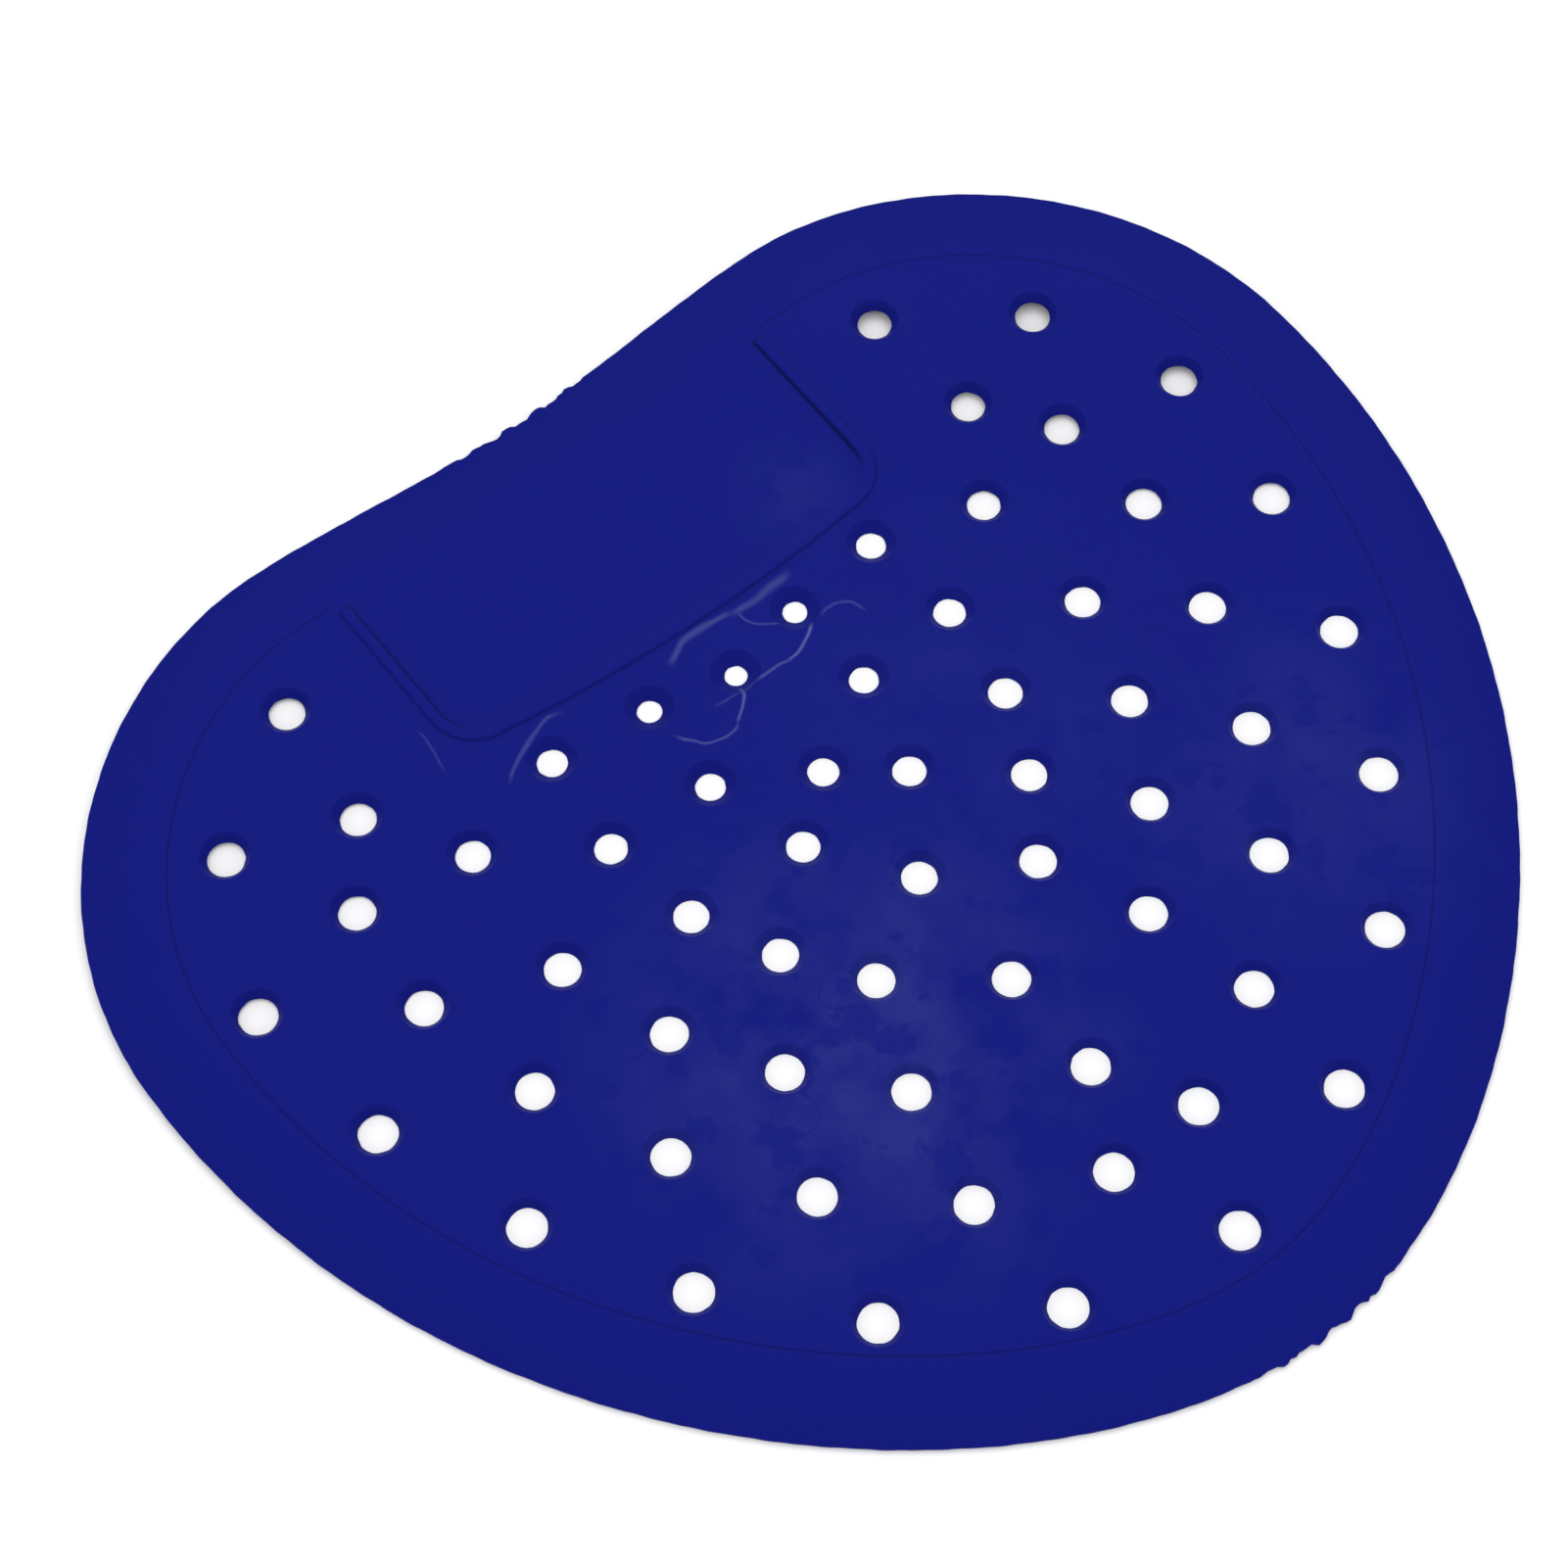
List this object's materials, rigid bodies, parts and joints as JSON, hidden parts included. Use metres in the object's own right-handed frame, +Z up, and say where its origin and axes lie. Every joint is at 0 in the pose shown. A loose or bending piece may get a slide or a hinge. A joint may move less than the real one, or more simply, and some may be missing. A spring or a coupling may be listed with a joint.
{
  "type": "urinal deodorizer screen",
  "caption": "Thin flexible vinyl urinal screen: rounded triangle with two back lobes, sloped border, curved rows of flared drain holes and a U-ribbed block seat.",
  "frame": {"origin": "on the surface that the screen lies on, below the middle of its outline's box", "axes": "+Z up; +X along the width, to the right seen from above with the lobes away; +Y from the round front to the two back lobes"},
  "size_m": [0.2022, 0.1798, 0.0034],
  "materials": {
    "vinyl": "soft flexible PVC, moulded, dark royal blue, low satin sheen"
  },
  "bodies": {
    "root": {"screen": "vinyl"}
  },
  "joints": []
}
